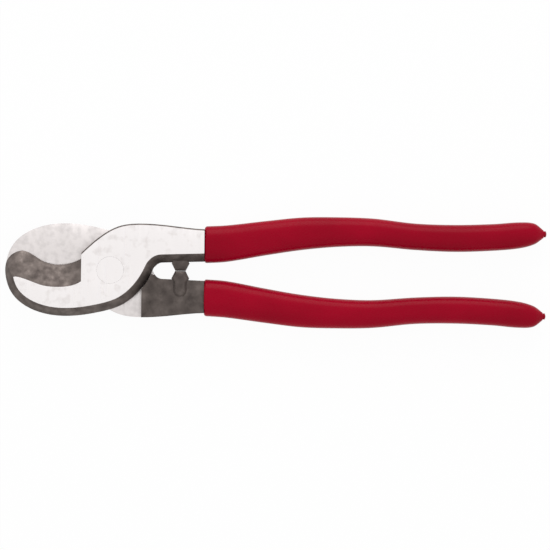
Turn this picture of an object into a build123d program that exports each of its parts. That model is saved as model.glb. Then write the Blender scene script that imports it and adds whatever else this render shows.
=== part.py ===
"""Riveted lap-joint cable cutter: two forged levers, one flush rivet and two dipped grips.

The tool lies flat. X runs along it, with the jaws towards -X and the handles towards +X.
The origin is on the rivet's axis, in the plane of the rear lever's ground outer face.
Both levers are the same forging. The rear one is turned over about the tool's long axis.
All sizes are in millimetres.
"""
from build123d import *
import os

# Lap joint
lap_thickness = 6.5        # each lever at the joint and jaw
lap_clearance = 0.1        # between the two sliding faces
mate_clearance = 0.4       # between a lever's heel and the wall of the other one's recess
recess_wall_x = 14.0       # where the full-depth shank starts
recess_low_y = 1.8         # long axis to the full-depth shank's lowest point, beside the heel

# Rivet, set into a countersink on each side and ground flush
rivet_radius = 4.5
rivet_head_radius = 6.0
rivet_head_depth = 1.5
rivet_clearance = 0.05     # radial, in the lever that turns on it

# Jaw
jaw_reach = 47.0           # rivet axis to the tip's outer side
jaw_half_height = 20.7     # rivet axis to the jaw's back
throat_x = -12.9           # wall that closes the mouth
edge_land = 1.1            # how far the mouth's bevel stops short of the sliding face, across it
back_bevel_width = 3.6     # bevel along the jaw's back and the shank, across the face
back_bevel_depth = 4.0     # the same bevel, down the side

# Shank
shank_inner_y = 3.6        # long axis to the shank's inner side
shank_depth = 5.0          # how far the shank goes past the sliding plane
shoulder_y = 20.9          # long axis to the joint's outer shoulder
crotch_radius = 4.0        # where the heel turns into the shank
shank_outer_y = 18.7       # long axis to the shank's outer side, at the grip
shoulder_chamfer = 0.6

# Closing stop, with the ridge that runs from it across the shank's outer side
stop_x = 31.2
stop_base_width = 7.8
stop_contact_width = 4.4
stop_ridge_width = 5.8
stop_gap = 0.1             # between the two stops when closed
stop_reach = 3.2           # past the sliding plane
stop_ridge_rise = 1.2
stop_ridge_end = 11.5      # long axis to the ridge's rounded end
stop_ridge_chamfer = 0.9

# Handle and grip
grip_start = 41.9
grip_wall = 1.5
mouth_chamfer = 0.9
# Grip stations: distance from the rivet, inner side, outer side and thickness
grip_stations = [
    (grip_start, 3.6, 20.1, 12.9),
    (52.0, 4.3, 20.7, 12.9),
    (70.0, 7.5, 22.9, 12.9),
    (86.0, 10.0, 24.6, 12.9),
    (102.0, 11.6, 24.9, 12.9),
    (118.0, 12.0, 24.5, 12.9),
    (137.0, 10.6, 22.5, 12.9),
    (155.0, 10.0, 22.1, 12.9),
    (172.0, 10.7, 22.7, 12.8),
    (184.0, 11.9, 23.6, 12.2),
    (190.5, 14.3, 22.7, 9.6),
    (194.8, 17.5, 19.5, 3.0),
]
corner_share = 0.4         # corner radius of a grip section, as a share of its shorter side

beyond = 100.0             # clear of the head on every side, for what is cut away
middle = lap_thickness
top = 2 * lap_thickness
shank_back = middle - shank_depth
turn_axis = Axis((0, 0, middle), (1, 0, 0))
tip = (-jaw_reach + 7.2, 8.3)
throat_low = (throat_x, 5.2)
throat_high = (throat_x, 7.6)


def heel_points(grow=0.0):
    """The jaw's back and the heel that turns past the other shank, pushed outwards by grow."""
    points = [
        (-jaw_reach + 0.5, 3.4),
        (-jaw_reach + 0.2, -3.5),
        (-jaw_reach + 3.5, -11.5),
        (-34.2, -jaw_half_height + 2.5),
        (-18.6, -jaw_half_height),
        (-4.5, -18.7),
        (5.2, -15.4),
        (13.6, -8.2),
        (19.2, 1.3),
    ]
    vectors = [Vector(*point) for point in points]
    return [vector + vector.normalized() * grow for vector in vectors]


def cutting_edge(shift=0.0):
    """Points of the S-shaped cutting edge, from the throat to the hook's tip."""
    points = [throat_low, (-17.5, 3.0), (-23.4, 2.0), (-30.4, 3.6), (-36.8, 7.4), tip]
    return [(x, y + shift) for x, y in points]


def face_edge():
    """Points where the mouth's bevel meets the ground face, from the throat to the hook."""
    return [(throat_x, -5.2), (-17.1, -7.1), (-23.4, -7.8), (-30.0, -7.2), (-36.0, -5.1), (-42.0, -3.4)]


def handle_body(inset, last):
    """A smooth bar through the first sections of the handle, each side set in by inset."""
    with BuildPart() as bar:
        for x, inner, outer, thickness in grip_stations[:last]:
            width = outer - inner - 2 * inset
            height = thickness - 2 * inset
            across = Plane(origin=(x, (inner + outer) / 2, middle), x_dir=(0, 1, 0), z_dir=(1, 0, 0))
            with BuildSketch(across):
                RectangleRounded(width, height, corner_share * min(width, height))
        loft()
    return bar.part


def rivet_body(clearance=0.0):
    """The rivet with its two countersunk heads, or the room that it turns in."""
    bore = rivet_radius + clearance
    head = rivet_head_radius + clearance
    with BuildPart() as body:
        with BuildSketch(Plane.XZ):
            with BuildLine():
                Polyline(
                    (0, 0), (head, 0), (bore, rivet_head_depth), (bore, top - rivet_head_depth),
                    (head, top), (0, top), close=True,
                )
            make_face()
        revolve(axis=Axis.Z)
    return body.part


def mouth_cutter():
    """The hollow bevel from the cutting edge back to the ground face."""
    low, high = cutting_edge(edge_land), face_edge()
    with BuildPart() as cutter:
        for points, level in ((low, middle), (high, top)):
            with BuildSketch(Plane.XY.offset(level)):
                with BuildLine():
                    Spline(*points)
                    Polyline(points[-1], (-beyond, points[-1][1] - 8), (-beyond, beyond),
                             (throat_x, beyond), points[0])
                make_face()
        loft(ruled=True)
    return cutter.part


def on_back(edge):
    """True for the ground face's rim from the hook's tip, round the heel, to the grip."""
    point = edge.center()
    on_shank = 0 < point.X < grip_start - 1 and point.Y < shank_inner_y + 1
    return point.Y < 0 or on_shank


def stop_outline(side):
    """One side of the stop, from its ridge's rounded end down to the contact face."""
    ridge = stop_x + side * stop_ridge_width / 2
    base = stop_x + side * stop_base_width / 2
    return [
        (ridge, stop_ridge_end - stop_ridge_width / 2), (ridge, shank_inner_y + 1.4),
        (base, shank_inner_y - 0.2), (stop_x + side * stop_contact_width / 2, stop_gap / 2),
    ]


def forge_lever():
    """One lever with its ground face up, its jaw below the long axis and its shank above."""
    heel = heel_points()
    shank_start = (21.2, shank_inner_y)
    shank_end = (grip_start, shank_inner_y + 0.7)
    with BuildPart() as forging:
        with BuildSketch(Plane.XY.offset(shank_back)):
            with BuildLine():
                Spline(*cutting_edge())
                Spline(tip, *heel)
                Polyline(heel[-1], shank_start, shank_end, (grip_start, shank_outer_y))
                Spline((grip_start, shank_outer_y), (26.7, 20.1), (13.0, shoulder_y), (4.0, 19.7),
                       (-4.5, 15.0), throat_high)
                Line(throat_high, throat_low)
            make_face()
        extrude(amount=top - shank_back)
        crotch = forging.edges().filter_by(Axis.Z).filter_by_position(Axis.X, heel[-1].X - 0.1, 21.3)
        fillet(crotch, crotch_radius)
        # Bevels round the ground face: wide on the back of the jaw, narrow on the shoulder
        upper = forging.faces().sort_by(Axis.Z)[-1]
        chamfer(upper.edges().filter_by(on_back), back_bevel_width, back_bevel_depth, reference=upper)
        shoulder = forging.edges().filter_by_position(Axis.Z, top, top).filter_by(GeomType.BSPLINE)
        chamfer(shoulder.sort_by(Axis.Y)[-1], shoulder_chamfer)
        under = forging.faces().sort_by(Axis.Z)[0].edges().filter_by(GeomType.BSPLINE)
        chamfer(under.sort_by(Axis.Y)[-1], shoulder_chamfer)
        # Recess that the other lever's head lies in
        with BuildSketch(Plane.XY.offset(shank_back)):
            with Locations((recess_wall_x, 0)):
                Rectangle(beyond, 2 * beyond, align=(Align.MAX, Align.CENTER))
            with Locations((0, recess_low_y)):
                Rectangle(2 * stop_x - stop_base_width, beyond, align=(Align.CENTER, Align.MAX))
            with BuildLine():
                other_heel = [(point.X, -point.Y) for point in heel_points(mate_clearance)]
                Spline(*other_heel)
                Line(other_heel[-1], other_heel[0])
            make_face()
        extrude(amount=shank_depth + lap_clearance / 2, mode=Mode.SUBTRACT)
        add(mouth_cutter(), mode=Mode.SUBTRACT)
        # Stop and its ridge
        with BuildSketch(Plane.XY.offset(shank_back - stop_ridge_rise)):
            with BuildLine():
                Polyline(*stop_outline(-1))
                Polyline(*stop_outline(1))
                Line(stop_outline(-1)[-1], stop_outline(1)[-1])
                ThreePointArc(stop_outline(-1)[0], (stop_x, stop_ridge_end), stop_outline(1)[0])
            make_face()
        extrude(amount=stop_ridge_rise + shank_depth + stop_reach)
        chamfer(forging.faces().sort_by(Axis.Z)[0].edges(), stop_ridge_chamfer)
        # Tang inside the grip
        add(handle_body(grip_wall, len(grip_stations) - 1))
    return forging.part


forging = forge_lever()
turned = forging.rotate(turn_axis, 180)

with BuildPart() as pivot_rivet:
    add(rivet_body())

with BuildPart() as front_lever:
    add(forging)
    add(rivet_body(rivet_clearance), mode=Mode.SUBTRACT)

with BuildPart() as rear_lever:
    add(turned)
    add(rivet_body(), mode=Mode.SUBTRACT)

with BuildPart() as front_grip:
    add(handle_body(0, len(grip_stations)))
    chamfer(front_grip.faces().sort_by(Axis.X)[0].edges(), mouth_chamfer)
    add(forging, mode=Mode.SUBTRACT)

with BuildPart() as rear_grip:
    add(front_grip.part.rotate(turn_axis, 180))

pieces = {
    "front_lever": front_lever,
    "rear_lever": rear_lever,
    "pivot_rivet": pivot_rivet,
    "front_grip": front_grip,
    "rear_grip": rear_grip,
}
os.makedirs("parts", exist_ok=True)
for name, piece in pieces.items():
    piece.part.label = name
    export_step(piece.part, f"parts/{name}.step")
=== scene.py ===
import bpy
import bmesh
import math
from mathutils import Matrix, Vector


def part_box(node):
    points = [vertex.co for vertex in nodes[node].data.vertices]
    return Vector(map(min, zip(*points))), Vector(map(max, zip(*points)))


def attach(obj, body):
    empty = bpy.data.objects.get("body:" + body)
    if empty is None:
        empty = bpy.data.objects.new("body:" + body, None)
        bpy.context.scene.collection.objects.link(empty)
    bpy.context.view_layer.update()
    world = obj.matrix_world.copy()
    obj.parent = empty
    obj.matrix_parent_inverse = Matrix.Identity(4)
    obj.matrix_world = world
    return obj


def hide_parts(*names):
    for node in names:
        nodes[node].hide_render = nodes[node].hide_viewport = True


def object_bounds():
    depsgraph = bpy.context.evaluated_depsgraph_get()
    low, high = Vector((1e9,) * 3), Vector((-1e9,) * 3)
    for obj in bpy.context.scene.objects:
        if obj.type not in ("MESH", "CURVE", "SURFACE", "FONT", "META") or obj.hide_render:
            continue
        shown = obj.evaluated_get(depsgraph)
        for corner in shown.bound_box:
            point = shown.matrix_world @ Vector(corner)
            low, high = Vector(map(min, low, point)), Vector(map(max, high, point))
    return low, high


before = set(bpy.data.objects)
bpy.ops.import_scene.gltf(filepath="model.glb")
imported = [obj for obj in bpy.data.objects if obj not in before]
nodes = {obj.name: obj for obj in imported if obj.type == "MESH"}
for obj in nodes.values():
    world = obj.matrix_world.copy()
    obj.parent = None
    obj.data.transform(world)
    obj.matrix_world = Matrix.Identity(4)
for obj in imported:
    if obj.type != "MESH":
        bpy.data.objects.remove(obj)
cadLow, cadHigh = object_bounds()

scene = bpy.context.scene
scene.view_settings.view_transform = "Standard"
midHeight = (cadLow.z + cadHigh.z) / 2  # the plane that the two levers slide on


def newMaterial(name):
    material = bpy.data.materials.new(name)
    material.use_nodes = True
    tree = material.node_tree
    return material, tree, tree.nodes["Principled BSDF"]


def addNode(tree, kind, **values):
    node = tree.nodes.new(kind)
    for key, value in values.items():
        if key in node.inputs:
            node.inputs[key].default_value = value
        else:
            setattr(node, key, value)
    return node


def noise(tree, scale, detail, stretch=(1, 1, 1), turn=0.0):
    # fine pattern in the tool's own metres, stretched along one way for grinding lines
    place = addNode(tree, "ShaderNodeTexCoord")
    mapping = addNode(tree, "ShaderNodeMapping", Scale=stretch, Rotation=(0, 0, turn))
    texture = addNode(tree, "ShaderNodeTexNoise", Scale=scale, Detail=detail)
    tree.links.new(place.outputs["Object"], mapping.inputs["Vector"])
    tree.links.new(mapping.outputs["Vector"], texture.inputs["Vector"])
    return texture.outputs["Fac"]


def ramp(tree, factor, stops):
    # each stop is a position and a colour
    node = addNode(tree, "ShaderNodeValToRGB")
    elements = node.color_ramp.elements
    for element, (position, colour) in zip((elements[0], elements[1]), (stops[0], stops[-1])):
        element.position = position
        element.color = (*colour, 1)
    for position, colour in stops[1:-1]:
        elements.new(position).color = (*colour, 1)
    tree.links.new(factor, node.inputs["Fac"])
    return node.outputs["Color"]


noiseRange = (0.3, 0.7)  # what the noise nearly always lies between


def spread(tree, factor, result):
    node = addNode(tree, "ShaderNodeMapRange")
    for socket, value in zip(("From Min", "From Max", "To Min", "To Max"), (*noiseRange, *result)):
        node.inputs[socket].default_value = value
    tree.links.new(factor, node.inputs["Value"])
    return node.outputs["Result"]


def makeFinish(name, finish):
    # one pattern drives the colour, another the roughness, and both the relief
    material, tree, shader = newMaterial(name)
    patterns = {use: noise(tree, **finish[use]) for use in ("tonePattern", "roughPattern")}
    tone = ramp(tree, patterns["tonePattern"], finish["tones"])
    rough = spread(tree, patterns["roughPattern"], finish["rough"])
    tree.links.new(tone, shader.inputs["Base Color"])
    tree.links.new(rough, shader.inputs["Roughness"])
    for socket, value in finish["sockets"].items():
        shader.inputs[socket].default_value = value
    normal = None
    for use, strength, depth in finish["relief"]:
        node = addNode(tree, "ShaderNodeBump", Strength=strength, Distance=depth)
        tree.links.new(patterns[use], node.inputs["Height"])
        if normal:
            tree.links.new(normal, node.inputs["Normal"])
        normal = node.outputs["Normal"]
    tree.links.new(normal, shader.inputs["Normal"])
    return material


groundPale, groundDull = (0.885, 0.85, 0.845), (0.78, 0.74, 0.73)
groundFinish = {
    "tones": [(0.3, groundDull), (0.46, groundPale), (0.8, groundPale)],
    "tonePattern": {"scale": 260, "detail": 8},
    "roughPattern": {"scale": 900, "detail": 5, "stretch": (1, 0.03, 1), "turn": 1.15},  # grinding lines
    "rough": (0.24, 0.42),
    "sockets": {"Metallic": 1},
    "relief": [("roughPattern", 0.25, 0.00004), ("tonePattern", 0.2, 0.0001)],  # strength, depth in metres
}
groundSteel = makeFinish("groundSteel", groundFinish)

lapFinish = {
    "tones": [(0.34, (0.67, 0.63, 0.62)), (0.56, (0.76, 0.715, 0.705))],
    "tonePattern": {"scale": 420, "detail": 8},
    "roughPattern": {"scale": 700, "detail": 5, "stretch": (1, 0.04, 1), "turn": -0.6},
    "rough": (0.3, 0.5),
    "sockets": {"Metallic": 1},
    "relief": [("roughPattern", 0.3, 0.00005), ("tonePattern", 0.25, 0.0001)],
}
lapSteel = makeFinish("lapSteel", lapFinish)

forgedFinish = {
    "tones": [(0.3, (0.07, 0.057, 0.052)), (0.52, (0.108, 0.089, 0.081)), (0.78, (0.165, 0.138, 0.126))],
    "tonePattern": {"scale": 240, "detail": 6},
    "roughPattern": {"scale": 420, "detail": 8},
    "rough": (0.42, 0.68),
    "sockets": {"Metallic": 0.85},
    "relief": [("tonePattern", 0.2, 0.00015), ("roughPattern", 0.4, 0.0001)],
}
forgedSteel = makeFinish("forgedSteel", forgedFinish)

bevelPaintedLight = 1.2  # painted light: how much lighter the jaws' bevels are painted than the rest of the forging, standing in for the light falling on their tilted faces
litBevelTones = [(at, tuple(bevelPaintedLight * part for part in colour)) for at, colour in forgedFinish["tones"]]
litBevelSteel = makeFinish("litBevelSteel", {**forgedFinish, "tones": litBevelTones})

gripFinish = {
    "tones": [(0.3, (0.27, 0.001, 0.0125)), (0.65, (0.34, 0.0012, 0.0165))],
    "tonePattern": {"scale": 60, "detail": 3, "stretch": (0.5, 1, 1)},
    "roughPattern": {"scale": 1500, "detail": 3},
    "rough": (0.22, 0.34),
    "sockets": {"Specular IOR Level": 0.06},
    "relief": [("tonePattern", 0.3, 0.0006), ("roughPattern", 0.12, 0.00003)],
}
gripPlastic = makeFinish("gripPlastic", gripFinish)
print("materials made")

# the bevel steel is the forging painted lighter, as painted light on tilted faces
leverSteels = {"forged": forgedSteel, "ground": groundSteel, "lap": lapSteel, "bevel": litBevelSteel}
leverFinish = {
    "flat": 0.98,           # share of the normal along the rivet on a flat face
    "bevelTilt": 0.1,       # the same, where a bevel turns into the forging's side
    "outerSlack": 0.00008,
    "slidingSlack": 0.0003,
    "weld": 1e-6,
    "edge": 0.00018,
    "edgeSegments": 2,
    "edgeAngle": 28,
}


def chooseSteel(polygon, outerFace):
    up = polygon.normal.z * (1 if outerFace > midHeight else -1)
    fromMiddle = abs(polygon.center.z - midHeight)
    if up > leverFinish["flat"] and abs(polygon.center.z - outerFace) < leverFinish["outerSlack"]:
        return "ground"
    if up < -leverFinish["flat"] and fromMiddle < leverFinish["slidingSlack"]:
        return "lap"
    # tilted faces get the forging painted lighter, a painted highlight for the light falling on them
    if fromMiddle < abs(outerFace - midHeight) and leverFinish["bevelTilt"] < up < leverFinish["flat"]:
        return "bevel"
    return "forged"


def finishLever(lever, outerFace):
    # ground on its outer face and its sliding face, forged everywhere else, with the tilted bevel faces
    # given the forging painted lighter as painted light
    mesh = lever.data
    mesh.materials.clear()
    for steel in leverSteels.values():
        mesh.materials.append(steel)
    slots = list(leverSteels)
    for polygon in mesh.polygons:
        polygon.material_index = slots.index(chooseSteel(polygon, outerFace))
        polygon.use_smooth = True
    weld = lever.modifiers.new("weld", "WELD")
    weld.merge_threshold = leverFinish["weld"]
    rounding = lever.modifiers.new("brokenEdge", "BEVEL")
    rounding.width = leverFinish["edge"]
    rounding.segments = leverFinish["edgeSegments"]
    rounding.angle_limit = math.radians(leverFinish["edgeAngle"])
    rounding.harden_normals = True


finishLever(nodes["front_lever"], cadHigh.z)
finishLever(nodes["rear_lever"], cadLow.z)
print("levers finished")

rivetMesh = nodes["pivot_rivet"].data
rivetMesh.materials.clear()
rivetMesh.materials.append(groundSteel)
print("rivet finished")

gripShape = {
    # share of the length, inner side, outer side and thickness, in metres from the long axis
    "stations": [
        (0.0, 0.0036, 0.0201, 0.0129), (0.066, 0.0043, 0.0207, 0.0129),
        (0.184, 0.0075, 0.0229, 0.0129), (0.288, 0.0100, 0.0246, 0.0129),
        (0.393, 0.0116, 0.0249, 0.0129), (0.498, 0.0120, 0.0245, 0.0129),
        (0.622, 0.0106, 0.0225, 0.0129), (0.740, 0.0100, 0.0221, 0.0129),
        (0.851, 0.0107, 0.0227, 0.0128), (0.929, 0.0119, 0.0236, 0.0122),
        (0.974, 0.0138, 0.0231, 0.0102), (1.0, 0.0166, 0.0202, 0.0042),
    ],
    "rings": 150,
    "around": 56,
    "squareness": 2.4,      # 2 is an ellipse, higher is boxier
    "mouthRound": 0.0011,
    "nibRadius": 0.0015,    # the drip left at the tip
    "nibLength": 0.0014,
    "nibRings": [(0.25, 0.8), (0.55, 1.0), (0.82, 0.8), (1.0, 0.35)],  # shares of its length and radius
}


def station(share, column):
    # smooth value between the stations, as a Catmull-Rom curve
    rows = gripShape["stations"]
    last = len(rows) - 2
    i = max(k for k in range(last + 1) if rows[k][0] <= share or k == 0)
    before, a, b, after = rows[max(i - 1, 0)], rows[i], rows[i + 1], rows[min(i + 2, len(rows) - 1)]
    span = b[0] - a[0]
    t = (share - a[0]) / span
    slopeA = (b[column] - before[column]) / (b[0] - before[0]) * span
    slopeB = (after[column] - a[column]) / (after[0] - a[0]) * span
    return ((2 * t**3 - 3 * t**2 + 1) * a[column] + (t**3 - 2 * t**2 + t) * slopeA
            + (3 * t**2 - 2 * t**3) * b[column] + (t**3 - t**2) * slopeB)


def addRing(work, x, middleY, halfY, halfZ, power, side):
    ring = []
    for j in range(gripShape["around"]):
        angle = 2 * math.pi * j / gripShape["around"]
        c, s = math.cos(angle), math.sin(angle)
        y = middleY + halfY * math.copysign(abs(c) ** power, c)
        z = midHeight + halfZ * math.copysign(abs(s) ** power, s)
        ring.append(work.verts.new((x, side * y, z)))
    return ring


def makeGrip(name, cadNode, body, side):
    low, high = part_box(cadNode)
    nibRadius, nibLength = gripShape["nibRadius"], gripShape["nibLength"]
    mouthRound = gripShape["mouthRound"]
    length = high.x - low.x - nibLength
    work = bmesh.new()
    rings = []
    for k in range(gripShape["rings"] + 1):
        share = 0.5 - 0.5 * math.cos(math.pi * k / gripShape["rings"])  # closer together at both ends
        inner, outer, thick = (station(share, column) for column in (1, 2, 3))
        fromMouth = min(share * length / mouthRound, 1)
        lip = mouthRound * (1 - math.sqrt(1 - (1 - fromMouth) ** 2))
        middleY, halfY, halfZ = (inner + outer) / 2, (outer - inner) / 2 - lip, thick / 2 - lip
        rings.append(addRing(work, low.x + share * length, middleY, halfY, halfZ,
                             2 / gripShape["squareness"], side))
    for reach, size in gripShape["nibRings"]:
        radius = size * nibRadius
        rings.append(addRing(work, low.x + length + reach * nibLength, middleY, radius, radius, 1, side))
    for a, b in zip(rings, rings[1:]):
        for j in range(len(a)):
            n = (j + 1) % len(a)
            work.faces.new((a[j], a[n], b[n], b[j]))
    work.faces.new(rings[0])
    work.faces.new(rings[-1])
    bmesh.ops.recalc_face_normals(work, faces=work.faces)
    mesh = bpy.data.meshes.new(name)
    work.to_mesh(mesh)
    work.free()
    for polygon in mesh.polygons:
        polygon.use_smooth = len(polygon.vertices) == 4  # the two end caps stay flat
    grip = bpy.data.objects.new(name, mesh)
    scene.collection.objects.link(grip)
    mesh.materials.append(gripPlastic)
    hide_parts(cadNode)
    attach(grip, body)


makeGrip("front_dipped_grip", "front_grip", "front_half", 1)
makeGrip("rear_dipped_grip", "rear_grip", "rear_half", -1)
print("grips made")


def seenItself(tree):
    # 1 where the camera looks at it, straight or by way of a shiny or clear piece
    path = addNode(tree, "ShaderNodeLightPath")
    seen = path.outputs["Is Camera Ray"]
    for ray in ("Is Glossy Ray", "Is Transmission Ray"):
        either = addNode(tree, "ShaderNodeMath", operation="MAXIMUM")
        tree.links.new(seen, either.inputs[0])
        tree.links.new(path.outputs[ray], either.inputs[1])
        seen = either.outputs[0]
    return seen


floorValues = {
    "half": 3.0,
    "drop": 0.0002,         # how far it lies under the tool
    "white": 0.9,
    "roughness": 0.9,
    "glowStrength": 1.0,
    "glowShare": 0.96,
}


def makeFloor():
    mesh = bpy.data.meshes.new("floor")
    h, z = floorValues["half"], cadLow.z - floorValues["drop"]
    mesh.from_pydata([(-h, -h, z), (h, -h, z), (h, h, z), (-h, h, z)], [], [(0, 1, 2, 3)])
    floor = bpy.data.objects.new("floor", mesh)
    scene.collection.objects.link(floor)
    material, tree, shader = newMaterial("floorPaint")
    shader.inputs["Base Color"].default_value = (*[floorValues["white"]] * 3, 1)
    shader.inputs["Roughness"].default_value = floorValues["roughness"]
    glow = addNode(tree, "ShaderNodeEmission", Strength=floorValues["glowStrength"])
    share = addNode(tree, "ShaderNodeMath", operation="MULTIPLY")
    share.inputs[1].default_value = floorValues["glowShare"]
    mix = addNode(tree, "ShaderNodeMixShader")
    tree.links.new(seenItself(tree), share.inputs[0])
    tree.links.new(share.outputs[0], mix.inputs["Fac"])
    tree.links.new(shader.outputs["BSDF"], mix.inputs[1])
    tree.links.new(glow.outputs["Emission"], mix.inputs[2])
    tree.links.new(mix.outputs["Shader"], tree.nodes["Material Output"].inputs["Surface"])
    mesh.materials.append(material)


worldValues = {"colour": (1, 1, 1, 1), "lighting": 0.8, "seen": 1.0}


def makeWorld():
    world = bpy.data.worlds.new("studio")
    scene.world = world
    world.use_nodes = True
    tree = world.node_tree
    lighting = tree.nodes["Background"]
    seen = addNode(tree, "ShaderNodeBackground")
    for background, strength in ((lighting, "lighting"), (seen, "seen")):
        background.inputs["Color"].default_value = worldValues["colour"]
        background.inputs["Strength"].default_value = worldValues[strength]
    mix = addNode(tree, "ShaderNodeMixShader")
    tree.links.new(seenItself(tree), mix.inputs["Fac"])
    tree.links.new(lighting.outputs[0], mix.inputs[1])
    tree.links.new(seen.outputs[0], mix.inputs[2])
    tree.links.new(mix.outputs[0], tree.nodes["World Output"].inputs["Surface"])


lampValues = {"place": (0.07, 1.1, 0.5), "power": 7, "size": 0.9}


def makeKeyLamp():
    data = bpy.data.lights.new("keyLamp", "AREA")
    data.energy = lampValues["power"]
    data.size = lampValues["size"]
    lamp = bpy.data.objects.new("keyLamp", data)
    lamp.location = lampValues["place"]
    aim = Vector(((cadLow.x + cadHigh.x) / 2, 0, midHeight)) - Vector(lampValues["place"])
    lamp.rotation_euler = aim.to_track_quat("-Z", "Y").to_euler()
    scene.collection.objects.link(lamp)


cameraValues = {"lens": 200, "width": 0.2451, "roll": 0.7, "centre": (0.07353, -0.0013)}


def makeCamera():
    data = bpy.data.cameras.new("camera")
    data.lens = cameraValues["lens"]
    camera = bpy.data.objects.new("camera", data)
    distance = cameraValues["width"] * data.lens / data.sensor_width
    camera.location = (*cameraValues["centre"], cadHigh.z + distance)
    camera.rotation_euler = (0, 0, math.radians(cameraValues["roll"]))
    scene.collection.objects.link(camera)
    scene.camera = camera


makeFloor()
makeWorld()
makeKeyLamp()
makeCamera()
print("floor, world, lamp and camera set")
